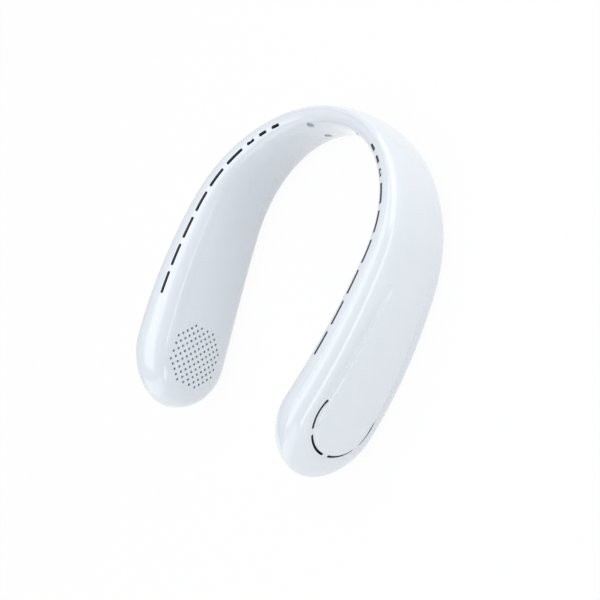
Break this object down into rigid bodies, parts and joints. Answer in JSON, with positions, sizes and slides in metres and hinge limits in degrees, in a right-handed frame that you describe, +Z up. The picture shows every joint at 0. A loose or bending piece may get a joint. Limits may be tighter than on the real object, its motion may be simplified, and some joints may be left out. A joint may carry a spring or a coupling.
{
  "type": "electric neck fan",
  "caption": "Rigid U-shaped neck fan: a white two-shell housing with round inlet grilles, air slots along its inner top edge and a hidden centrifugal blower in each arm.",
  "frame": {"origin": "middle of the base of the bounding box, on the surface that the fan stands on", "axes": "+Z up, +Y to the back of the neck, so the arms open towards -Y; +X to the right arm. The fan rests on the flats under its arms, pitched so that its tips are higher than in use."},
  "size_m": [0.1728, 0.2004, 0.0656],
  "materials": {
    "shell_white": "smooth moulded cool white, soft gloss",
    "fan_housing_grey": "moulded dark grey",
    "impeller_white": "moulded off-white",
    "steel": "plated",
    "magnet": "bonded ferrite, dull",
    "bronze": "sintered",
    "copper_wire": "enamelled wire",
    "cell_pouch": "laminate pouch film",
    "foam": "dull black",
    "board_green": "solder mask",
    "light_guide": "milky clear"
  },
  "bodies": {
    "housing": {"outer_shell": "shell_white", "inner_shell": "shell_white", "left_grille": "shell_white", "right_grille": "shell_white", "left_scroll": "fan_housing_grey", "right_scroll": "fan_housing_grey", "left_scroll_lid": "fan_housing_grey", "right_scroll_lid": "fan_housing_grey", "left_bearing": "bronze", "right_bearing": "bronze", "left_stator": "steel", "right_stator": "steel", "left_coils": "copper_wire", "right_coils": "copper_wire", "left_duct_floor": "impeller_white", "right_duct_floor": "impeller_white", "left_battery": "cell_pouch", "right_battery": "cell_pouch", "battery_pads": "foam", "main_board": "board_green", "usb_socket": "steel", "tact_switch": "fan_housing_grey", "light_guide": "light_guide", "neck_harness": "foam", "band_screws": "steel", "screw_plugs": "shell_white", "scroll_screws": "steel", "board_screws": "steel"},
    "left_rotor": {"left_impeller": "impeller_white", "left_rotor_cup": "steel", "left_rotor_magnet": "magnet", "left_shaft": "steel"},
    "right_rotor": {"right_impeller": "impeller_white", "right_rotor_cup": "steel", "right_rotor_magnet": "magnet", "right_shaft": "steel"},
    "power_button": {"power_button": "shell_white"}
  },
  "joints": [
    {"name": "left_impeller_spin", "type": "hinge", "parent": "housing", "child": "left_rotor", "pos_m": [-0.06636, -0.06517, 0.03318], "axis": [0.9765, 0.2145, -0.0199], "continuous": true},
    {"name": "right_impeller_spin", "type": "hinge", "parent": "housing", "child": "right_rotor", "pos_m": [0.06636, -0.06517, 0.03318], "axis": [-0.9765, 0.2145, -0.0199], "continuous": true},
    {"name": "power_button_press", "type": "slide", "parent": "housing", "child": "power_button", "axis": [0.9991, 0.0431, 0.001], "range_m": [0, 0.0005], "stiffness_N_per_m": 800, "springref_m": -0.0008}
  ]
}
